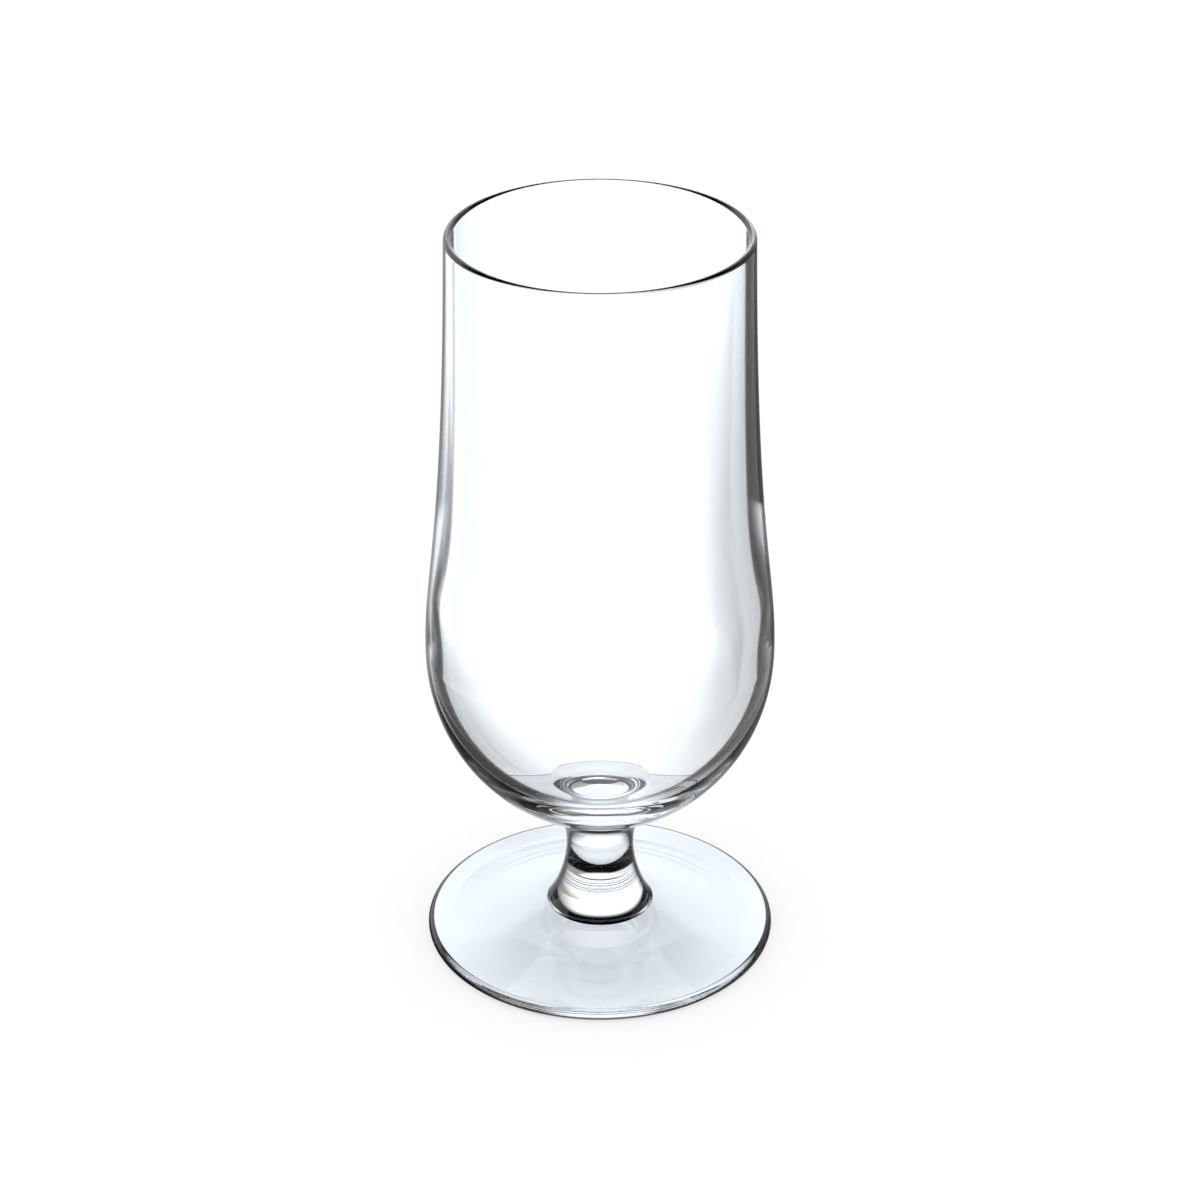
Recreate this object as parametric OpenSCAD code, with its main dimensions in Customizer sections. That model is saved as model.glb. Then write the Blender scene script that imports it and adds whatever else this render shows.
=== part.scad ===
// Footed pilsner glass: a blown bowl on a short waisted stem and a round foot.
// Millimetres, +Z up. The origin is the middle of the foot, at the level of the table.

/* [Bowl] */
// Height of the bowl, from its joint with the stem to the rim
bowl_h = 143.2; // [130:0.1:156]
// Outside diameter of the wall at the rim
rim_d = 67.7; // [62:0.1:74]
// Thickness of the wall at the rim
rim_wall = 1.75; // [1.3:0.05:2.4]
// Outside diameter at the widest part of the belly
belly_d = 80.4; // [76:0.1:86]
// Height of the widest part of the belly above the joint with the stem
belly_rise = 42.2; // [38:0.1:48]
// Thickness of the wall at the belly
belly_wall = 2.8; // [2:0.1:4]
// Thickness of the glass between the inside of the bowl and the stem
base_t = 2.6; // [2:0.1:5]
// Lean of the outside of the wall at the rim, in degrees
rim_lean = 1.25; // [0:0.05:2.5]
// Lean of the inside of the wall at the rim, in degrees
inner_lean = 0.85; // [0:0.05:2]
// Rise of the underside where it meets the stem, in degrees
underside_rise = 26.5; // [21:0.5:31]

/* [Stem] */
// Height of the stem, from the foot to the bowl
stem_h = 27.4; // [24:0.1:34]
// Diameter of the joint between the stem and the bowl
joint_d = 27.2; // [24:0.1:30]
// Diameter of the stem at its waist
waist_d = 16; // [13:0.1:19]
// Height of the waist above the foot
waist_rise = 15.8; // [14:0.1:18]
// Diameter of the base of the stem, where it stands on the foot
base_d = 25.4; // [22:0.1:29]
// Slope of the flare at the base of the stem, in degrees
flare_slope = 54.5; // [45:0.5:64]
// Slope of the flare under the bowl, in degrees
fillet_slope = 37; // [30:0.5:44]

/* [Foot] */
// Diameter of the foot
foot_d = 82.8; // [76:0.1:90]
// Height of the foot at the pad that carries the stem
foot_h = 7.4; // [6.5:0.1:9.5]
// Thickness of the rounded edge of the foot
edge_t = 2.9; // [2.2:0.1:3.6]
// Slope of the top of the foot at its edge, in degrees
edge_slope = 7; // [4:0.5:9]
// Slope of the top of the foot at the pad, in degrees
pad_slope = 22; // [17:0.5:25]
// Width of the flat ring that the glass stands on
rest_w = 4; // [2.5:0.1:6]
// Height of the hollow under the middle of the foot
hollow_h = 3.7; // [1:0.1:4.2]

/* [Curves] */
// Reach of the outside curve below the rim, as a share of the height from belly to rim
rim_reach_share = 0.73; // [0.6:0.01:0.85]
// Reach of the outside curve above the belly, as a share of the same height
shoulder_reach_share = 0.19; // [0.12:0.01:0.3]
// Reach of the outside curve below the belly, as a share of the height from joint to belly
belly_reach_share = 0.47; // [0.4:0.01:0.58]
// Reach of the underside curve, as a share of the run from joint to belly
underside_reach_share = 0.66; // [0.56:0.01:0.74]
// Reach of the inside curve below the rim, as a share of the height from belly to rim
inner_rim_reach_share = 0.91; // [0.75:0.01:0.95]
// Reach of the inside curve above the belly, as a share of the same height
inner_shoulder_reach_share = 0.245; // [0.15:0.005:0.35]
// Reach of the inside curve below the belly, as a share of the depth from belly to bottom
inner_belly_reach_share = 0.65; // [0.55:0.01:0.74]
// Reach of the inside curve along the bottom, as a share of the inside radius of the belly
bottom_reach_share = 0.43; // [0.34:0.005:0.54]
// Reach of the stem's curve above the waist, as a share of the height from waist to bowl
waist_upper_reach_share = 0.57; // [0.35:0.01:0.7]
// Reach of the stem's curve under the bowl, as a share of its flare
fillet_reach_share = 0.68; // [0.4:0.01:0.95]
// Reach of the stem's curve below the waist, as a share of the height from foot to waist
waist_lower_reach_share = 0.49; // [0.3:0.01:0.6]
// Reach of the stem's curve at its base, as a share of its flare
flare_reach_share = 0.39; // [0.25:0.01:0.6]
// Reach of the curves on the top of the foot, as a share of the run from edge to pad
foot_reach_share = 0.35; // [0.2:0.01:0.45]

/* [Hidden] */

// Colour of the clear glass
glass_colour = [0.91, 0.95, 0.97, 0.4];
// Steps along each free curve, and along each rounded lip or edge
curve_steps = 28;
round_steps = 12;
// Facets round the axis
turn_fn = 180;

// Heights of the two joints, of the belly, of the rim and of the bottom inside the bowl
stem_z = foot_h;
bowl_z = stem_z + stem_h;
belly_z = bowl_z + belly_rise;
rim_z = bowl_z + bowl_h;
bottom_z = bowl_z + base_t;
waist_z = stem_z + waist_rise;

// Radii
rim_r = rim_d / 2;
inner_rim_r = rim_r - rim_wall;
belly_r = belly_d / 2;
inner_belly_r = belly_r - belly_wall;
joint_r = joint_d / 2;
waist_r = waist_d / 2;
base_r = base_d / 2;
foot_r = foot_d / 2;
lip_r = rim_wall / 2;
edge_r = edge_t / 2;
rest_r = foot_r - edge_r;
hollow_r = rest_r - rest_w;

// Heights and runs that the free curves span
lip_z = rim_z - lip_r;
upper_h = lip_z - belly_z;
inner_depth = belly_z - bottom_z;
underside_run = belly_r - joint_r;
upper_flare = joint_r - waist_r;
lower_flare = base_r - waist_r;
foot_run = rest_r - base_r;

// Unit step in a direction given in degrees above the radius
function heading(angle) = [cos(angle), sin(angle)];

// Cubic curve from a to d, drawn towards b and c, without its first point
function curve(a, b, c, d) =
    [for (i = [1:curve_steps])
        let (t = i / curve_steps, u = 1 - t)
        u * u * u * a + 3 * u * u * t * b + 3 * u * t * t * c + t * t * t * d];

// Arc about a centre from one angle to another, without its first point
function arc(centre, radius, from, to) =
    [for (i = [1:round_steps])
        centre + radius * heading(from + (to - from) * i / round_steps)];

// Outside of the bowl, from the joint with the stem up to the lip
function bowl_outside() =
    let (
        joint = [joint_r, bowl_z],
        belly = [belly_r, belly_z],
        lip = [rim_r, lip_z]
    )
    concat(
        [joint],
        curve(
            joint,
            joint + underside_reach_share * underside_run * heading(underside_rise),
            belly - [0, belly_reach_share * belly_rise],
            belly
        ),
        curve(
            belly,
            belly + [0, shoulder_reach_share * upper_h],
            lip - rim_reach_share * upper_h * [-tan(rim_lean), 1],
            lip
        )
    );

// Inside of the bowl, from the lip down to the bottom on the axis
function bowl_inside() =
    let (
        lip = [inner_rim_r, lip_z],
        belly = [inner_belly_r, belly_z],
        bottom = [0, bottom_z]
    )
    concat(
        curve(
            lip,
            lip - inner_rim_reach_share * upper_h * [-tan(inner_lean), 1],
            belly + [0, inner_shoulder_reach_share * upper_h],
            belly
        ),
        curve(
            belly,
            belly - [0, inner_belly_reach_share * inner_depth],
            bottom + [bottom_reach_share * inner_belly_r, 0],
            bottom
        )
    );

// Blown bowl: thick at the bottom, with a rounded lip, open at the top
module bowl() {
    lip_centre = [rim_r - lip_r, lip_z];
    color(glass_colour)
        rotate_extrude($fn = turn_fn)
            polygon(concat(
                bowl_outside(),
                arc(lip_centre, lip_r, 0, 180),
                bowl_inside(),
                [[0, bowl_z]]
            ));
}

// Drawn stem: stands on the pad of the foot and carries the bowl on its flared top
module stem() {
    base = [base_r, stem_z];
    waist = [waist_r, waist_z];
    joint = [joint_r, bowl_z];
    color(glass_colour)
        rotate_extrude($fn = turn_fn)
            polygon(concat(
                [[0, stem_z], base],
                curve(
                    base,
                    base + flare_reach_share * lower_flare * heading(180 - flare_slope),
                    waist - [0, waist_lower_reach_share * waist_rise],
                    waist
                ),
                curve(
                    waist,
                    waist + [0, waist_upper_reach_share * (stem_h - waist_rise)],
                    joint - fillet_reach_share * upper_flare * heading(fillet_slope),
                    joint
                ),
                [[0, bowl_z]]
            ));
}

// Pressed foot: rounded edge, gently rising top with a flat pad, shallow hollow underneath
module foot() {
    edge_centre = [rest_r, edge_r];
    edge_top = edge_centre + edge_r * heading(90 - edge_slope);
    pad = [base_r, foot_h];
    hollow_dome_r = (hollow_r * hollow_r + hollow_h * hollow_h) / (2 * hollow_h);
    hollow_turn = asin(hollow_r / hollow_dome_r);
    color(glass_colour)
        rotate_extrude($fn = turn_fn)
            polygon(concat(
                [[0, hollow_h]],
                arc([0, hollow_h - hollow_dome_r], hollow_dome_r, 90, 90 - hollow_turn),
                [[rest_r, 0]],
                arc(edge_centre, edge_r, -90, 90 - edge_slope),
                curve(
                    edge_top,
                    edge_top + foot_reach_share * foot_run * heading(180 - edge_slope),
                    pad + foot_reach_share * foot_run * heading(-pad_slope),
                    pad
                ),
                [[0, foot_h]]
            ));
}

bowl();
stem();
foot();
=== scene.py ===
import math

import bmesh
import bpy
from bpy.props import FloatProperty, FloatVectorProperty, IntProperty, PointerProperty
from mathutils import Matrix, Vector


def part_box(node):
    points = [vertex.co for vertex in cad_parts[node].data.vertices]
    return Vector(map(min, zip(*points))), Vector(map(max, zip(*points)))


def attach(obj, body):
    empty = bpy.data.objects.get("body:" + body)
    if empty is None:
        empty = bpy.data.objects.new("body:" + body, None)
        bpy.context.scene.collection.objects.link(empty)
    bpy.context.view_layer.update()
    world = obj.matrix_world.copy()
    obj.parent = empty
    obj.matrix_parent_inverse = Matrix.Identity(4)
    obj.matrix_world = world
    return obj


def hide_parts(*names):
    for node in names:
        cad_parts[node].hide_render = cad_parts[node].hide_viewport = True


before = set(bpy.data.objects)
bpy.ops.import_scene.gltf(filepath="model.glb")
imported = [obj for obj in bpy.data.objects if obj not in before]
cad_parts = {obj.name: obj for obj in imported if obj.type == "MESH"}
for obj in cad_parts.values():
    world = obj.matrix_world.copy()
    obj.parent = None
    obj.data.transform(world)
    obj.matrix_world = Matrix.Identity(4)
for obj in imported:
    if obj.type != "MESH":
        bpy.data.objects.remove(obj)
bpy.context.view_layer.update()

bl_info = {
    "name": "Footed pilsner glass",
    "version": (1, 0, 0),
    "blender": (4, 5, 0),
    "location": "View3D > Sidebar > Pilsner glass",
    "description": "Builds a clear footed beer glass and its studio stage round the packed frame",
    "category": "Object",
}

BODY = "root"
MM = 0.001
BLACK = (0.0, 0.0, 0.0)
WHITE = (1.0, 1.0, 1.0)

BOWL_LOW, BOWL_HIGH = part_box("bowl")
STEM_LOW, STEM_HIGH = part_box("stem")
FOOT_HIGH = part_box("foot")[1]
PAD_R = 12.7 * MM

# Meshes: reach of the last merge, distance that counts as touching, and how level a joint's face is
MERGE = 1e-7
SNAP = 1e-6
LEVEL = 0.9999
# Places of the material of a joint and of the foot's edge in the list of a piece
JOINT_MATERIAL = 1
EDGE_MATERIAL = 2
# Share of a curve between its end and a guard point, and the angle from which an edge stays crisp
GUARD = 0.002
CREASE = math.radians(9)

# Skin of the glass: strength of its smears, depth of its waves and how the waves are drawn out
SMEAR = 0.03
WAVE = 0.002
WAVE_STRETCH = (0.15, 0.15, 1.0)
# Scale and detail of the noise behind the clouds, the smears and the waves
CLOUD_NOISE = (28.0, 2.0)
SMEAR_NOISE = (90.0, 4.0)
WAVE_NOISE = (60.0, 1.0)
# Levels of the noise at which a cloud or a smear starts and is full
CLOUD_EDGE = (0.35, 0.75)
SMEAR_EDGE = (0.55, 0.75)

# Facings at which painted shade darkens each glass towards its outline, from 0 seen squarely to 1 seen along
# the surface
BOWL_SHADE_FACINGS = (0.78, 0.835)
STEM_SHADE_FACINGS = (0.44, 0.66)
FOOT_SHADE_FACINGS = (0.12, 0.38, 0.7, 0.86)
EDGE_SHADE_FACINGS = (0.12, 0.24, 0.36)
# Blend at which the Layer Weight node gives the facing as it is
EVEN_BLEND = 0.5


def length(name, description, default):
    """A size in metres that a user may change."""
    return FloatProperty(
        name=name, description=description, default=default, min=0.0, unit="LENGTH", precision=5)


def angle(name, description, degrees):
    """An angle that a user may change, given in degrees."""
    return FloatProperty(
        name=name, description=description, default=math.radians(degrees), subtype="ANGLE")


def share(name, description, default):
    """A share of another size."""
    return FloatProperty(
        name=name, description=description, default=default, min=0.0, max=2.0, subtype="FACTOR")


def colour(name, description, default):
    """A colour that a user may change."""
    return FloatVectorProperty(
        name=name, description=description, default=default, size=3, subtype="COLOR", min=0.0, max=1.0)


class BowlSizes(bpy.types.PropertyGroup):
    """Sizes of the blown bowl."""

    joint_z: length("Joint height", "Height of the joint with the stem", BOWL_LOW.z)
    rim_z: length("Rim height", "Height of the top of the lip", BOWL_HIGH.z)
    belly_z: length("Belly height", "Height of the widest part", BOWL_LOW.z + 42.2 * MM)
    belly_r: length("Belly radius", "Outside radius at the widest part", BOWL_HIGH.x)
    rim_r: length("Rim radius", "Outside radius of the wall at the rim", 33.85 * MM)
    rim_wall: length("Rim wall", "Thickness of the wall at the rim", 1.75 * MM)
    belly_wall: length("Belly wall", "Thickness of the wall at the belly", 2.8 * MM)
    base_t: length("Base", "Thickness of the glass between the inside and the stem", 2.6 * MM)
    rim_lean: angle("Rim lean", "Lean of the outside of the wall at the rim", 1.25)
    inner_lean: angle("Inner lean", "Lean of the inside of the wall at the rim", 0.85)
    underside_rise: angle("Underside rise", "Rise of the underside where it meets the stem", 26.5)
    rim_reach: share("Rim reach", "Pull of the outside curve below the rim", 0.73)
    shoulder_reach: share("Shoulder reach", "Pull of the outside curve above the belly", 0.19)
    belly_reach: share("Belly reach", "Pull of the outside curve below the belly", 0.47)
    underside_reach: share("Underside reach", "Pull of the underside curve at the joint", 0.66)
    inner_rim_reach: share("Inner rim reach", "Pull of the inside curve below the rim", 0.91)
    inner_shoulder_reach: share("Inner shoulder reach", "Pull of the inside curve above the belly", 0.245)
    inner_belly_reach: share("Inner belly reach", "Pull of the inside curve below the belly", 0.65)
    bottom_reach: share("Bottom reach", "Pull of the inside curve along the bottom", 0.43)


class StemSizes(bpy.types.PropertyGroup):
    """Sizes of the drawn stem."""

    base_z: length("Base height", "Height of the joint with the foot", STEM_LOW.z)
    joint_z: length("Joint height", "Height of the joint with the bowl", STEM_HIGH.z)
    joint_r: length("Joint radius", "Radius of the joint with the bowl", STEM_HIGH.x)
    base_r: length("Base radius", "Radius of the base on the foot", PAD_R)
    waist_r: length("Waist radius", "Radius at the waist", 8.0 * MM)
    waist_z: length("Waist height", "Height of the waist", STEM_LOW.z + 15.8 * MM)
    flare_slope: angle("Flare slope", "Slope of the flare at the base", 54.5)
    fillet_slope: angle("Fillet slope", "Slope of the flare under the bowl", 37.0)
    waist_upper_reach: share("Upper waist reach", "Pull of the curve above the waist", 0.57)
    fillet_reach: share("Fillet reach", "Pull of the curve under the bowl", 0.68)
    waist_lower_reach: share("Lower waist reach", "Pull of the curve below the waist", 0.49)
    flare_reach: share("Flare reach", "Pull of the curve at the base", 0.39)


class FootSizes(bpy.types.PropertyGroup):
    """Sizes of the pressed foot."""

    foot_r: length("Foot radius", "Radius of the foot", FOOT_HIGH.x)
    pad_z: length("Pad height", "Height of the pad that carries the stem", FOOT_HIGH.z)
    pad_r: length("Pad radius", "Radius of the pad that carries the stem", PAD_R)
    edge_t: length("Edge", "Thickness of the rounded edge", 2.9 * MM)
    rest_w: length("Resting ring", "Width of the flat ring that the glass stands on", 4.0 * MM)
    hollow_h: length("Hollow", "Height of the hollow under the foot", 3.7 * MM)
    edge_slope: angle("Edge slope", "Slope of the top at the edge", 7.0)
    pad_slope: angle("Pad slope", "Slope of the top at the pad", 22.0)
    top_reach: share("Top reach", "Pull of the curves on the top", 0.35)


class GlassLook(bpy.types.PropertyGroup):
    """Finish of the glass, and the painted shade along its outline and on its foot."""

    clear: colour("Clear tint", "Tint of the glass where it is looked at squarely", (0.998, 0.999, 1.0))
    pale: colour("Pale tint", "Tint of the glass where its skin lies thicker", (0.988, 0.995, 0.999))
    # Painted shade: the foot is dimmed where it is seen aslant, standing in for the shaded table seen
    # through it
    foot_shade: colour("Dim tint", "Tint of the foot where it is looked at aslant", (0.64, 0.68, 0.71))
    # Painted shade: a thin dark line along the bowl's outline, standing in for the dark room that the wall
    # mirrors there
    line: colour("Line tint", "Tint of the thin line along the outline", (0.03, 0.031, 0.033))
    # Painted shade: near black along the outline of the stem and the foot, standing in for the dark room
    # that the glass bends and mirrors there
    outline_shade: colour("Deep tint", "Tint of the glass along its outline", (0.001, 0.001, 0.001))
    ior: FloatProperty(name="IOR", description="Bending power of the glass", default=1.5, min=1.0, max=2.0)


class StageLook(bpy.types.PropertyGroup):
    """Colours of the studio that the glass bends and mirrors."""

    sweep: colour("Sweep", "Cool light from the white sweep behind and under the glass", (0.92, 0.962, 1.0))
    left_wall: colour("Left wall", "Wall on the left, which only mirrored rays find", (0.68, 0.72, 0.75))
    right_wall: colour("Right wall", "Wall on the right, which only mirrored rays find", (0.3, 0.285, 0.275))
    cards: colour("Cards", "Shade of the cards that lie beside the sweep", (0.085, 0.083, 0.082))
    front: colour("Front", "Shade of the dark room in front of the glass", (0.004, 0.004, 0.004))
    strip: colour("Strip", "Shade of the strip that draws the outline of the glass", (0.36, 0.36, 0.37))
    ceiling: colour("Ceiling", "Shade of the dark ceiling", (0.005, 0.005, 0.005))
    floor: colour("Floor", "Colour of the floor", (0.4, 0.4, 0.4))


class MeshDetail(bpy.types.PropertyGroup):
    """Fineness of the meshes."""

    turns: IntProperty(name="Turn steps", description="Steps round the axis", default=256, min=32)
    curve_steps: IntProperty(
        name="Curve steps", description="Steps along each free curve", default=48, min=8)
    round_steps: IntProperty(
        name="Edge steps", description="Steps along each rounded edge", default=24, min=6)


def spot(radius, height):
    """A point of an outline, in the plane that is spun."""
    return Vector((radius, 0.0, height))


def heading(slope):
    """A unit step in the outline's plane, at a slope in radians above the radius."""
    return spot(math.cos(slope), math.sin(slope))


def curve(start, pull_start, pull_end, end):
    """Points of a cubic curve after its first. Guard points close to its ends keep the shading crisp."""
    steps = bpy.context.scene.pilsner_mesh.curve_steps
    places = [GUARD, *(i / steps for i in range(1, steps)), 1.0 - GUARD, 1.0]
    points = []
    for t in places:
        u = 1 - t
        first_half = u ** 3 * start + 3 * u ** 2 * t * pull_start
        points.append(first_half + 3 * u * t ** 2 * pull_end + t ** 3 * end)
    return points


def arc(centre, radius, first, last):
    """Points of an arc after its first, between two angles in radians."""
    steps = bpy.context.scene.pilsner_mesh.round_steps
    turns = [first + (last - first) * i / steps for i in range(1, steps + 1)]
    return [centre + radius * heading(turn) for turn in turns]


def bowl_outline(size):
    """Half section of the bowl, from the middle of the joint round the lip to the bottom inside."""
    stem = bpy.context.scene.pilsner_stem
    lip_r = size.rim_wall / 2
    lip_z = size.rim_z - lip_r
    upper = lip_z - size.belly_z
    joint = spot(stem.joint_r, size.joint_z)
    belly = spot(size.belly_r, size.belly_z)
    lip = spot(size.rim_r, lip_z)
    inner_lip = spot(size.rim_r - size.rim_wall, lip_z)
    inner_belly = spot(size.belly_r - size.belly_wall, size.belly_z)
    bottom = spot(0.0, size.joint_z + size.base_t)
    rise = size.belly_z - size.joint_z
    depth = size.belly_z - bottom.z
    run = size.belly_r - stem.joint_r
    points = [spot(0.0, size.joint_z), joint]
    points += curve(
        joint, joint + size.underside_reach * run * heading(size.underside_rise),
        belly - spot(0.0, size.belly_reach * rise), belly)
    points += curve(
        belly, belly + spot(0.0, size.shoulder_reach * upper),
        lip - size.rim_reach * upper * spot(-math.tan(size.rim_lean), 1.0), lip)
    points += arc(spot(size.rim_r - lip_r, lip_z), lip_r, 0.0, math.pi)
    points += curve(
        inner_lip, inner_lip - size.inner_rim_reach * upper * spot(-math.tan(size.inner_lean), 1.0),
        inner_belly + spot(0.0, size.inner_shoulder_reach * upper), inner_belly)
    points += curve(
        inner_belly, inner_belly - spot(0.0, size.inner_belly_reach * depth),
        bottom + spot(size.bottom_reach * inner_belly.x, 0.0), bottom)
    return points


def stem_outline(size):
    """Half section of the stem, from the middle of its base to the middle of its top."""
    base = spot(size.base_r, size.base_z)
    waist = spot(size.waist_r, size.waist_z)
    joint = spot(size.joint_r, size.joint_z)
    points = [spot(0.0, size.base_z), base]
    points += curve(
        base, base + size.flare_reach * (size.base_r - size.waist_r) * heading(math.pi - size.flare_slope),
        waist - spot(0.0, size.waist_lower_reach * (size.waist_z - size.base_z)), waist)
    points += curve(
        waist, waist + spot(0.0, size.waist_upper_reach * (size.joint_z - size.waist_z)),
        joint - size.fillet_reach * (size.joint_r - size.waist_r) * heading(size.fillet_slope), joint)
    points.append(spot(0.0, size.joint_z))
    return points


def foot_outline(size):
    """Half section of the foot, from the middle of the hollow round the edge to the middle of the pad."""
    edge_r = size.edge_t / 2
    rest_r = size.foot_r - edge_r
    hollow_r = rest_r - size.rest_w
    dome_r = (hollow_r ** 2 + size.hollow_h ** 2) / (2 * size.hollow_h)
    edge_centre = spot(rest_r, edge_r)
    edge_top = edge_centre + edge_r * heading(math.pi / 2 - size.edge_slope)
    pad = spot(size.pad_r, size.pad_z)
    reach = size.top_reach * (rest_r - size.pad_r)
    points = [spot(0.0, size.hollow_h)]
    points += arc(
        spot(0.0, size.hollow_h - dome_r), dome_r, math.pi / 2, math.pi / 2 - math.asin(hollow_r / dome_r))
    points.append(spot(rest_r, 0.0))
    points += arc(edge_centre, edge_r, -math.pi / 2, math.pi / 2 - size.edge_slope)
    points += curve(
        edge_top, edge_top + reach * heading(math.pi - size.edge_slope),
        pad + reach * heading(-size.pad_slope), pad)
    points.append(spot(0.0, size.pad_z))
    return points


def spun_mesh(name, outline, joints):
    """A closed mesh of an outline spun about the axis.

    joints are the heights of the flat faces that meet other glass, which take the second material."""
    turns = bpy.context.scene.pilsner_mesh.turns
    bm = bmesh.new()
    rail = [bm.verts.new(point) for point in outline]
    rungs = [bm.edges.new(pair) for pair in zip(rail, rail[1:])]
    bmesh.ops.spin(
        bm, geom=rail + rungs, cent=(0, 0, 0), axis=(0, 0, 1), angle=math.pi / 2, steps=turns // 4,
        use_duplicate=False)
    for side in ("X", "Y"):
        bmesh.ops.mirror(bm, geom=bm.verts[:] + bm.edges[:] + bm.faces[:], axis=side, merge_dist=SNAP)
    bmesh.ops.remove_doubles(bm, verts=bm.verts, dist=MERGE)
    bmesh.ops.recalc_face_normals(bm, faces=bm.faces)
    for face in bm.faces:
        face.smooth = True
    for height in joints:
        flat = [f for f in bm.faces if abs(f.verts[0].co.z - height) < SNAP and abs(f.normal.z) > LEVEL]
        for face in flat:
            face.material_index = JOINT_MATERIAL
    for edge in bm.edges:
        one_glass = len({f.material_index for f in edge.link_faces}) == 1
        edge.smooth = one_glass and edge.calc_face_angle() < CREASE
    mesh = bpy.data.meshes.new(name)
    bm.to_mesh(mesh)
    bm.free()
    return mesh


def add_piece(name, node, outline, joints, materials):
    """Links a spun piece to the scene, in place of a node of the frame."""
    piece = bpy.data.objects.new(name, spun_mesh(name, outline, joints))
    bpy.context.scene.collection.objects.link(piece)
    for material in materials:
        piece.data.materials.append(material)
    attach(piece, BODY)
    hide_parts(node)
    return piece


def new_material(name):
    """An empty node material and its output."""
    material = bpy.data.materials.new(name)
    material.use_nodes = True
    tree = material.node_tree
    tree.nodes.clear()
    return material, tree, tree.nodes.new("ShaderNodeOutputMaterial")


def connect(tree, value, socket):
    """Sets a socket from a number, a colour or another node's output."""
    if isinstance(value, bpy.types.NodeSocket):
        tree.links.new(value, socket)
    elif isinstance(value, (int, float)):
        socket.default_value = value
    else:
        socket.default_value = (*value, 1.0)


def math_node(tree, operation, first, second):
    """Result of an operation on two numbers or outputs."""
    node = tree.nodes.new("ShaderNodeMath")
    node.operation = operation
    connect(tree, first, node.inputs[0])
    connect(tree, second, node.inputs[1])
    return node.outputs["Value"]


def product(tree, first, second):
    """One number or output times another."""
    return math_node(tree, "MULTIPLY", first, second)


def larger(tree, first, second):
    """The larger of two numbers or outputs."""
    return math_node(tree, "MAXIMUM", first, second)


def soft_edge(tree, value, edge):
    """A soft step from 0 to 1 as value crosses an edge, given as the places where it starts and is full."""
    node = tree.nodes.new("ShaderNodeMapRange")
    node.interpolation_type = "SMOOTHSTEP"
    start, full = edge
    connect(tree, value, node.inputs["Value"])
    connect(tree, start, node.inputs["From Min"])
    connect(tree, full, node.inputs["From Max"])
    return node.outputs["Result"]


def soft_band(tree, value, near, far):
    """1 between two soft edges, and 0 outside them."""
    return product(tree, soft_edge(tree, value, near), soft_edge(tree, value, far))


def mixed(tree, blend, factor, first, second):
    """Two colours mixed or multiplied."""
    node = tree.nodes.new("ShaderNodeMix")
    node.data_type = "RGBA"
    node.blend_type = blend
    sockets = {socket.identifier: socket for socket in node.inputs}
    connect(tree, factor, sockets["Factor_Float"])
    connect(tree, first, sockets["A_Color"])
    connect(tree, second, sockets["B_Color"])
    return next(socket for socket in node.outputs if socket.identifier == "Result_Color")


def ramp(tree, value, places, shades):
    """A colour that eases from shade to shade as value passes the places, which lie from 0 to 1."""
    node = tree.nodes.new("ShaderNodeValToRGB")
    node.color_ramp.interpolation = "EASE"
    points = node.color_ramp.elements
    while len(points) < len(places):
        points.new(1.0)
    for point, place, shade in zip(points, places, shades):
        point.position = place
        point.color = (*shade, 1.0)
    connect(tree, value, node.inputs["Fac"])
    return node.outputs["Color"]


def noise(tree, place, scale, detail):
    """Value of a noise texture."""
    node = tree.nodes.new("ShaderNodeTexNoise")
    node.inputs["Scale"].default_value = scale
    node.inputs["Detail"].default_value = detail
    connect(tree, place, node.inputs["Vector"])
    return node.outputs["Fac"]


def glass_skin():
    """Node group for the skin of hand-worked glass: faint clouds of tint, smears and long soft waves."""
    name = "glass_skin"
    if name in bpy.data.node_groups:
        return bpy.data.node_groups[name]
    tree = bpy.data.node_groups.new(name, "ShaderNodeTree")
    for key, kind in (("Clear", "Color"), ("Pale", "Color"), ("Smear", "Float"), ("Wave", "Float")):
        tree.interface.new_socket(key, in_out="INPUT", socket_type="NodeSocket" + kind)
    for key, kind in (("Tint", "Color"), ("Roughness", "Float"), ("Height", "Float")):
        tree.interface.new_socket(key, in_out="OUTPUT", socket_type="NodeSocket" + kind)
    given = tree.nodes.new("NodeGroupInput").outputs
    result = tree.nodes.new("NodeGroupOutput").inputs
    place = tree.nodes.new("ShaderNodeTexCoord").outputs["Object"]
    stretch = tree.nodes.new("ShaderNodeMapping")
    stretch.inputs["Scale"].default_value = WAVE_STRETCH
    tree.links.new(place, stretch.inputs["Vector"])
    clouds = soft_edge(tree, noise(tree, place, *CLOUD_NOISE), CLOUD_EDGE)
    smears = soft_edge(tree, noise(tree, place, *SMEAR_NOISE), SMEAR_EDGE)
    waves = noise(tree, stretch.outputs["Vector"], *WAVE_NOISE)
    tree.links.new(mixed(tree, "MIX", clouds, given["Clear"], given["Pale"]), result["Tint"])
    tree.links.new(product(tree, smears, given["Smear"]), result["Roughness"])
    tree.links.new(product(tree, waves, given["Wave"]), result["Height"])
    return tree


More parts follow.
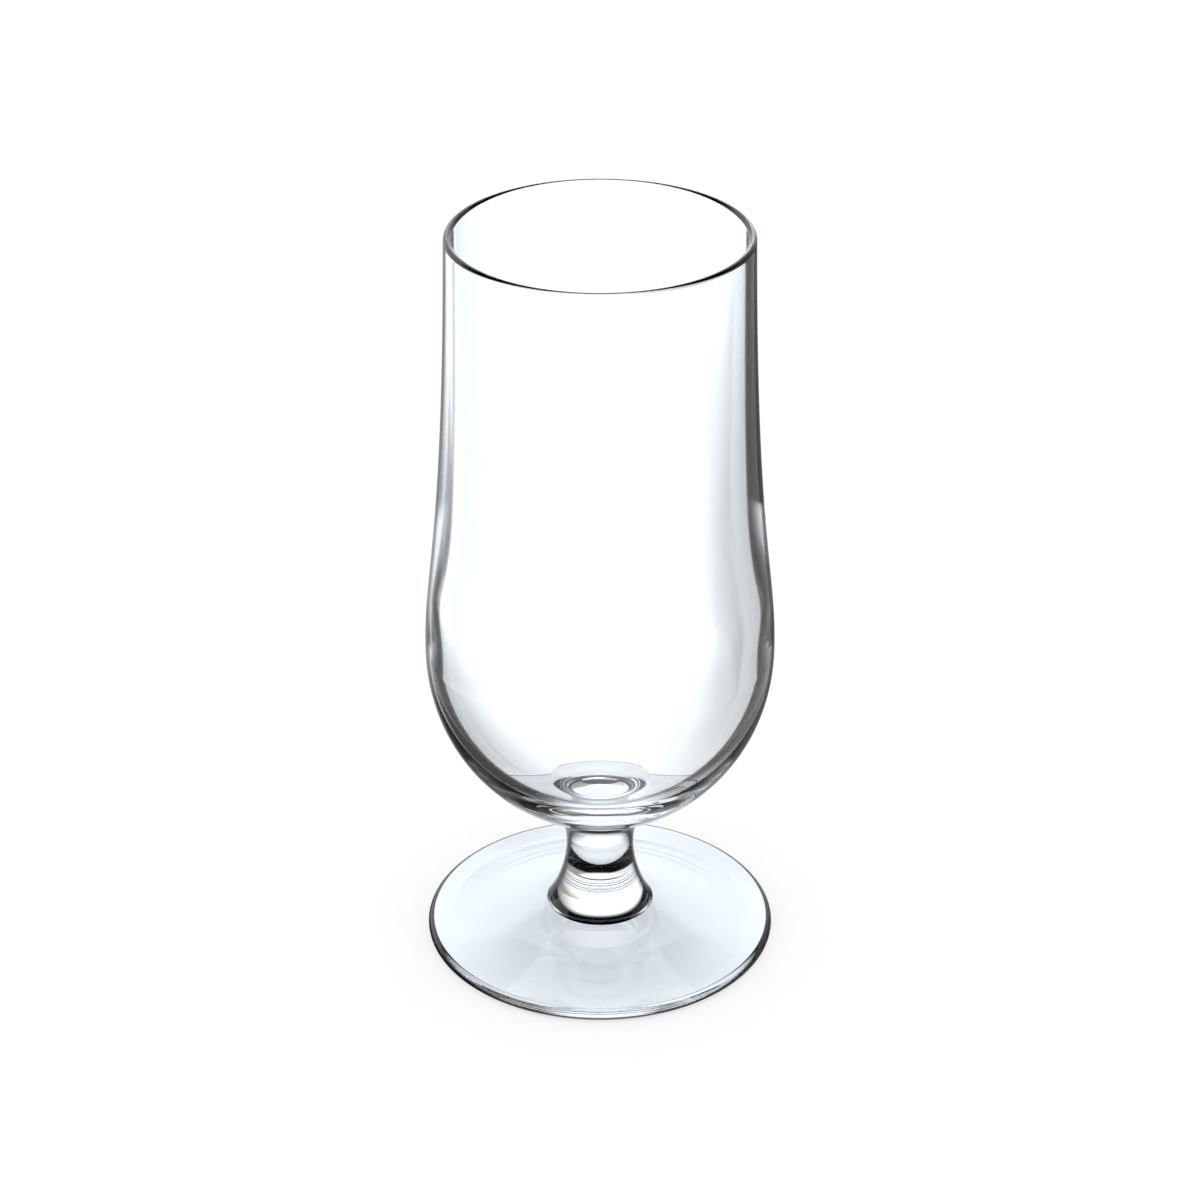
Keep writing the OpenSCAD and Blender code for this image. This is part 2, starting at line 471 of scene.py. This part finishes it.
def clear_glass(name, facings, painted_shades, smear, wave):
    """Clear glass whose colour takes on painted shade as it turns from the eye, standing in for the dark
    room that its outline bends and mirrors.
    """
    look = bpy.context.scene.pilsner_glass
    material, tree, output = new_material(name)
    skin = tree.nodes.new("ShaderNodeGroup")
    skin.node_tree = glass_skin()
    connect(tree, look.clear, skin.inputs["Clear"])
    connect(tree, look.pale, skin.inputs["Pale"])
    connect(tree, smear, skin.inputs["Smear"])
    connect(tree, wave, skin.inputs["Wave"])
    weight = tree.nodes.new("ShaderNodeLayerWeight")
    weight.inputs["Blend"].default_value = EVEN_BLEND
    # Painted shade: a ramp on the facing darkens the glass towards its outline, and it is multiplied into
    # the glass's own tint
    outline = ramp(tree, weight.outputs["Facing"], facings, painted_shades)
    bump = tree.nodes.new("ShaderNodeBump")
    bump.inputs["Strength"].default_value = 1.0
    bump.inputs["Distance"].default_value = MM
    shader = tree.nodes.new("ShaderNodeBsdfPrincipled")
    shader.inputs["Transmission Weight"].default_value = 1.0
    shader.inputs["IOR"].default_value = look.ior
    tree.links.new(skin.outputs["Height"], bump.inputs["Height"])
    tree.links.new(mixed(tree, "MULTIPLY", 1.0, skin.outputs["Tint"], outline), shader.inputs["Base Color"])
    tree.links.new(skin.outputs["Roughness"], shader.inputs["Roughness"])
    tree.links.new(bump.outputs["Normal"], shader.inputs["Normal"])
    tree.links.new(shader.outputs["BSDF"], output.inputs["Surface"])
    return material


def fused_joint():
    """The face where two gobs of glass have melted together, which neither reflects nor bends light."""
    name = "fused_joint"
    if name in bpy.data.materials:
        return bpy.data.materials[name]
    material, tree, output = new_material(name)
    shader = tree.nodes.new("ShaderNodeBsdfTransparent")
    tree.links.new(shader.outputs["BSDF"], output.inputs["Surface"])
    return material


class PILSNER_OT_bowl(bpy.types.Operator):
    """Spin the bowl with its lip, its wall that thickens towards the stem and its round bottom"""

    bl_idname = "pilsner.bowl"
    bl_label = "Bowl"

    def execute(self, context):
        size = context.scene.pilsner_bowl
        look = context.scene.pilsner_glass
        # Painted shade: a thin dark line along the bowl's outline
        glass = clear_glass("bowl_glass", BOWL_SHADE_FACINGS, (WHITE, look.line), smear=SMEAR, wave=WAVE)
        add_piece("blown_bowl", "bowl", bowl_outline(size), [size.joint_z], [glass, fused_joint()])
        return {"FINISHED"}


class PILSNER_OT_stem(bpy.types.Operator):
    """Spin the waisted stem"""

    bl_idname = "pilsner.stem"
    bl_label = "Stem"

    def execute(self, context):
        size = context.scene.pilsner_stem
        look = context.scene.pilsner_glass
        joints = [size.base_z, size.joint_z]
        # Painted shade: the stem darkens to near black along its outline
        glass = clear_glass("stem_glass", STEM_SHADE_FACINGS, (WHITE, look.outline_shade), smear=SMEAR, wave=WAVE)
        add_piece("drawn_stem", "stem", stem_outline(size), joints, [glass, fused_joint()])
        return {"FINISHED"}


class PILSNER_OT_foot(bpy.types.Operator):
    """Spin the foot with its hollow and its rounded edge, which has a glass of its own with its own painted
    outline shade
    """

    bl_idname = "pilsner.foot"
    bl_label = "Foot"

    def execute(self, context):
        size = context.scene.pilsner_foot
        look = context.scene.pilsner_glass
        # Painted shade: the foot is dimmed where it is seen aslant and darkened to near black along its
        # outline
        foot_painted_shades = (WHITE, look.foot_shade, look.foot_shade, look.outline_shade)
        edge_painted_shades = (WHITE, look.foot_shade, look.outline_shade)
        glasses = [
            clear_glass("foot_glass", FOOT_SHADE_FACINGS, foot_painted_shades, smear=SMEAR, wave=WAVE),
            fused_joint(),
            clear_glass("edge_glass", EDGE_SHADE_FACINGS, edge_painted_shades, smear=SMEAR, wave=WAVE),
        ]
        piece = add_piece("pressed_foot", "foot", foot_outline(size), [size.pad_z], glasses)
        rest_r = size.foot_r - size.edge_t / 2
        for face in piece.data.polygons:
            if face.center.xy.length > rest_r:
                face.material_index = EDGE_MATERIAL
        return {"FINISHED"}


def sine(degrees):
    """Height of a direction at an angle in degrees above the level."""
    return math.sin(math.radians(degrees))


# Bounces that a ray may make, and the level over which a count of hits means at least one
RAY_BOUNCES = 24
ONE_HIT = 0.5

# Floor: radius, sides, the gap that keeps it off the foot, and the glow that makes it white to the camera
FLOOR_R = 4.0
FLOOR_SIDES = 96
FLOOR_DROP = 0.2 * MM
FLOOR_GLOW = 0.64

# Cards: half their width, how far they lie under the foot, and the lean of their edges behind the glass
CARDS_R = 0.8
CARDS_DROP = 2 * FLOOR_DROP
LEFT_LEAN = 0.68
RIGHT_LEAN = 0.2
# Soft edges of the cards in mirrored rays. Each edge is the places where it starts and where it is full
FRONT_EDGE = (-55 * MM, -85 * MM)
LEFT_EDGE = (0.0, -32 * MM)
LEFT_BACK = (420 * MM, 140 * MM)
LEFT_END = (-225 * MM, -185 * MM)
# Reach over which the right card darkens, places along it and the cover at each
RIGHT_REACH = 200 * MM
RIGHT_PLACES = (0.12, 0.28, 0.8)
RIGHT_SHADES = (BLACK, (0.8, 0.8, 0.8), WHITE)
# Strength and soft edges of the faint shade that the cards leave in other rays
PLAIN_SHADE = 0.42
PLAIN_LEFT_EDGE = (30 * MM, -15 * MM)
PLAIN_LEFT_FRONT = (25 * MM, 42 * MM)
PLAIN_LEFT_BACK = (130 * MM, 85 * MM)
PLAIN_RIGHT_EDGE = (-2 * MM, 32 * MM)
PLAIN_RIGHT_FRONT = (5 * MM, 85 * MM)
PLAIN_RIGHT_BACK = (420 * MM, 150 * MM)
PLAIN_LEFT_END = (-140 * MM, -85 * MM)
PLAIN_RIGHT_END = (170 * MM, 110 * MM)
# Strength, middle and soft edge of the shade under the foot
UNDER_SHADE = 0.3
UNDER_PLACE = (0.0, -12 * MM, 0.0)
UNDER_EDGE = (42 * MM, 8 * MM)

# Room: level of the sweep, which makes up for what the glass turns away, and soft edges of its parts
SWEEP_LEVEL = 1.27
SWEEP_LEFT = (math.radians(-75), math.radians(-50))
SWEEP_RIGHT = (math.radians(44), math.radians(16))
SWEEP_BELOW = (sine(-67), sine(-76))
WALLS_MEET = (-0.35, 0.35)
ROOM_FRONT = (-0.22, -0.34)
CEILING_SLANT = 0.87
CEILING_EDGE = (-0.07, 0.07)
CEILING_LOW = (sine(26), sine(32))
CEILING_HIGH = (sine(38), sine(44))
STRIP_SIDE = (math.radians(32), math.radians(18))
STRIP_TOP = (sine(-10), sine(-18))

# Camera
SENSOR_W = 36.0
LENS = 93.05
CAMERA_PLACE = (0.0, -0.6242, 0.4263)
CAMERA_TILT = 28.43


def flat_object(name, bm, drop):
    """Links a flat mesh to the scene, a little below the table's level."""
    bmesh.ops.translate(bm, verts=bm.verts, vec=(0.0, 0.0, -drop))
    mesh = bpy.data.meshes.new(name)
    bm.to_mesh(mesh)
    bm.free()
    obj = bpy.data.objects.new(name, mesh)
    bpy.context.scene.collection.objects.link(obj)
    return obj


def add_floor():
    """A pale floor that glows white to the camera and keeps the shadow of the glass."""
    bm = bmesh.new()
    bmesh.ops.create_circle(bm, cap_ends=True, segments=FLOOR_SIDES, radius=FLOOR_R)
    floor = flat_object("floor", bm, FLOOR_DROP)
    floor.visible_glossy = False
    floor.visible_transmission = False
    material, tree, output = new_material("floor_white")
    paint = tree.nodes.new("ShaderNodeBsdfDiffuse")
    connect(tree, bpy.context.scene.pilsner_stage.floor, paint.inputs["Color"])
    glow = tree.nodes.new("ShaderNodeEmission")
    path = tree.nodes.new("ShaderNodeLightPath")
    connect(tree, product(tree, path.outputs["Is Camera Ray"], FLOOR_GLOW), glow.inputs["Strength"])
    both = tree.nodes.new("ShaderNodeAddShader")
    tree.links.new(paint.outputs["BSDF"], both.inputs[0])
    tree.links.new(glow.outputs["Emission"], both.inputs[1])
    tree.links.new(both.outputs["Shader"], output.inputs["Surface"])
    floor.data.materials.append(material)


def mirrored_rays(tree):
    """1 for rays that the glass has mirrored, and 0 for others."""
    path = tree.nodes.new("ShaderNodeLightPath")
    return math_node(tree, "GREATER_THAN", path.outputs["Glossy Depth"], ONE_HIT)


def mirrored_shade(tree, across, away, leftward, rightward):
    """Cover of the left and the right card, as mirrored rays find them."""
    reach = product(tree, soft_edge(tree, away, LEFT_BACK), soft_edge(tree, across, LEFT_END))
    left = product(tree, soft_edge(tree, leftward, LEFT_EDGE), reach)
    right = ramp(tree, math_node(tree, "DIVIDE", rightward, RIGHT_REACH), RIGHT_PLACES, RIGHT_SHADES)
    return larger(tree, left, right)


def plain_shade(tree, across, away, leftward, rightward):
    """Cover of the faint shade at the left and the right of the glass, as other rays find it."""
    left = product(
        tree, soft_band(tree, away, PLAIN_LEFT_FRONT, PLAIN_LEFT_BACK),
        soft_edge(tree, leftward, PLAIN_LEFT_EDGE))
    right = product(
        tree, soft_edge(tree, rightward, PLAIN_RIGHT_EDGE),
        soft_band(tree, away, PLAIN_RIGHT_FRONT, PLAIN_RIGHT_BACK))
    near = soft_band(tree, across, PLAIN_LEFT_END, PLAIN_RIGHT_END)
    return product(tree, product(tree, larger(tree, left, right), near), PLAIN_SHADE)


def shade_under_foot(tree, place):
    """Cover of the soft round shade that the glass throws on the table under its foot."""
    gap = tree.nodes.new("ShaderNodeVectorMath")
    gap.operation = "DISTANCE"
    tree.links.new(place, gap.inputs[0])
    gap.inputs[1].default_value = UNDER_PLACE
    return product(tree, soft_edge(tree, gap.outputs["Value"], UNDER_EDGE), UNDER_SHADE)


def add_cards():
    """Cards on the floor beside the sweep. Mirrored rays find them dark, others find a faint shade."""
    look = bpy.context.scene.pilsner_stage
    bm = bmesh.new()
    bmesh.ops.create_grid(bm, x_segments=1, y_segments=1, size=CARDS_R)
    cards = flat_object("cards", bm, CARDS_DROP)
    cards.visible_camera = False
    cards.visible_diffuse = False
    cards.visible_shadow = False
    material, tree, output = new_material("card_grey")
    place = tree.nodes.new("ShaderNodeTexCoord").outputs["Object"]
    split = tree.nodes.new("ShaderNodeSeparateXYZ")
    tree.links.new(place, split.inputs["Vector"])
    across, away = split.outputs["X"], split.outputs["Y"]
    behind = larger(tree, away, 0.0)
    leftward = math_node(tree, "ADD", across, product(tree, behind, LEFT_LEAN))
    rightward = math_node(tree, "SUBTRACT", across, product(tree, behind, RIGHT_LEAN))
    front = soft_edge(tree, away, FRONT_EDGE)
    dark = larger(tree, mirrored_shade(tree, across, away, leftward, rightward), front)
    beside = plain_shade(tree, across, away, leftward, rightward)
    faint = larger(tree, beside, shade_under_foot(tree, place))
    shade = mixed(tree, "MIX", mirrored_rays(tree), faint, dark)
    clear = tree.nodes.new("ShaderNodeBsdfTransparent")
    grey = tree.nodes.new("ShaderNodeEmission")
    tree.links.new(mixed(tree, "MIX", front, look.cards, look.sweep), grey.inputs["Color"])
    both = tree.nodes.new("ShaderNodeMixShader")
    tree.links.new(shade, both.inputs["Fac"])
    tree.links.new(clear.outputs["BSDF"], both.inputs[1])
    tree.links.new(grey.outputs["Emission"], both.inputs[2])
    tree.links.new(both.outputs["Shader"], output.inputs["Surface"])
    cards.data.materials.append(material)


def mirrored_room(tree, path, across, away, up):
    """Colour of the room as mirrored rays find it: sweep, walls, dark front and slanted ceiling.

    Rays that only the skin of the glass has mirrored also find the strip that draws its outline."""
    look = bpy.context.scene.pilsner_stage
    turn = math_node(tree, "ARCTAN2", across, away)
    light = mixed(tree, "MIX", soft_edge(tree, across, WALLS_MEET), look.left_wall, look.right_wall)
    light = mixed(tree, "MIX", soft_band(tree, turn, SWEEP_LEFT, SWEEP_RIGHT), light, look.sweep)
    light = mixed(tree, "MULTIPLY", soft_edge(tree, away, ROOM_FRONT), light, look.front)
    light = mixed(tree, "MIX", soft_edge(tree, up, SWEEP_BELOW), light, look.sweep)
    slant = math_node(tree, "SUBTRACT", up, product(tree, away, CEILING_SLANT))
    ceiling = product(tree, soft_edge(tree, slant, CEILING_EDGE), soft_edge(tree, up, CEILING_LOW))
    light = mixed(tree, "MULTIPLY", ceiling, light, look.ceiling)
    skimmed = math_node(tree, "LESS_THAN", path.outputs["Transmission Depth"], ONE_HIT)
    aside = math_node(tree, "ABSOLUTE", turn, 0.0)
    strip = product(tree, soft_edge(tree, aside, STRIP_SIDE), soft_edge(tree, up, STRIP_TOP))
    return mixed(tree, "MULTIPLY", product(tree, skimmed, strip), light, look.strip)


def light_world():
    """Plain white light on matte things. The glass finds a white room with a dark ceiling."""
    look = bpy.context.scene.pilsner_stage
    world = bpy.data.worlds.new("studio")
    bpy.context.scene.world = world
    world.use_nodes = True
    tree = world.node_tree
    tree.nodes.clear()
    path = tree.nodes.new("ShaderNodeLightPath")
    split = tree.nodes.new("ShaderNodeSeparateXYZ")
    tree.links.new(tree.nodes.new("ShaderNodeTexCoord").outputs["Generated"], split.inputs["Vector"])
    across, away, up = (split.outputs[axis] for axis in "XYZ")
    room = mirrored_room(tree, path, across, away, up)
    light = mixed(tree, "MIX", mirrored_rays(tree), look.sweep, room)
    light = mixed(tree, "MULTIPLY", soft_edge(tree, up, CEILING_HIGH), light, look.ceiling)
    plain = larger(tree, path.outputs["Is Camera Ray"], path.outputs["Is Diffuse Ray"])
    strength = tree.nodes.new("ShaderNodeMapRange")
    tree.links.new(plain, strength.inputs["Value"])
    strength.inputs["To Min"].default_value = SWEEP_LEVEL
    strength.inputs["To Max"].default_value = 1.0
    back = tree.nodes.new("ShaderNodeBackground")
    output = tree.nodes.new("ShaderNodeOutputWorld")
    tree.links.new(mixed(tree, "MIX", plain, light, WHITE), back.inputs["Color"])
    tree.links.new(strength.outputs["Result"], back.inputs["Strength"])
    tree.links.new(back.outputs["Background"], output.inputs["Surface"])


def add_camera():
    """A long lens that looks down on the glass from the front."""
    lens = bpy.data.cameras.new("camera")
    lens.sensor_width = SENSOR_W
    lens.lens = LENS
    camera = bpy.data.objects.new("camera", lens)
    bpy.context.scene.collection.objects.link(camera)
    camera.location = CAMERA_PLACE
    camera.rotation_euler = (math.pi / 2 - math.radians(CAMERA_TILT), 0.0, 0.0)
    bpy.context.scene.camera = camera


class PILSNER_OT_stage(bpy.types.Operator):
    """Set the floor, the cards, the light and the camera"""

    bl_idname = "pilsner.stage"
    bl_label = "Stage"

    def execute(self, context):
        scene = context.scene
        scene.view_settings.view_transform = "Standard"
        scene.cycles.use_denoising = True
        scene.cycles.max_bounces = RAY_BOUNCES
        scene.cycles.glossy_bounces = RAY_BOUNCES
        scene.cycles.transmission_bounces = RAY_BOUNCES
        add_floor()
        add_cards()
        light_world()
        add_camera()
        return {"FINISHED"}


class PILSNER_PT_panel(bpy.types.Panel):
    """Lists the pieces of the glass and its sizes"""

    bl_idname = "PILSNER_PT_panel"
    bl_label = "Pilsner glass"
    bl_space_type = "VIEW_3D"
    bl_region_type = "UI"
    bl_category = "Pilsner glass"

    def draw(self, context):
        for operator in OPERATORS:
            self.layout.operator(operator.bl_idname)
        for group in SETTINGS:
            settings = getattr(context.scene, group)
            box = self.layout.box()
            for key in settings.__annotations__:
                box.prop(settings, key)


SETTINGS = {
    "pilsner_mesh": MeshDetail,
    "pilsner_bowl": BowlSizes,
    "pilsner_stem": StemSizes,
    "pilsner_foot": FootSizes,
    "pilsner_glass": GlassLook,
    "pilsner_stage": StageLook,
}
OPERATORS = (PILSNER_OT_stage, PILSNER_OT_bowl, PILSNER_OT_stem, PILSNER_OT_foot)
CLASSES = (*SETTINGS.values(), *OPERATORS, PILSNER_PT_panel)


def register():
    """Adds the classes, and their settings to the scene."""
    for cls in CLASSES:
        bpy.utils.register_class(cls)
    for name, group in SETTINGS.items():
        setattr(bpy.types.Scene, name, PointerProperty(type=group))


def unregister():
    """Takes the settings and the classes away again."""
    for name in SETTINGS:
        delattr(bpy.types.Scene, name)
    for cls in reversed(CLASSES):
        bpy.utils.unregister_class(cls)


def main():
    """Builds the stage and the three pieces."""
    register()
    bpy.ops.pilsner.stage()
    bpy.ops.pilsner.bowl()
    bpy.ops.pilsner.stem()
    bpy.ops.pilsner.foot()


if __name__ == "__main__":
    main()
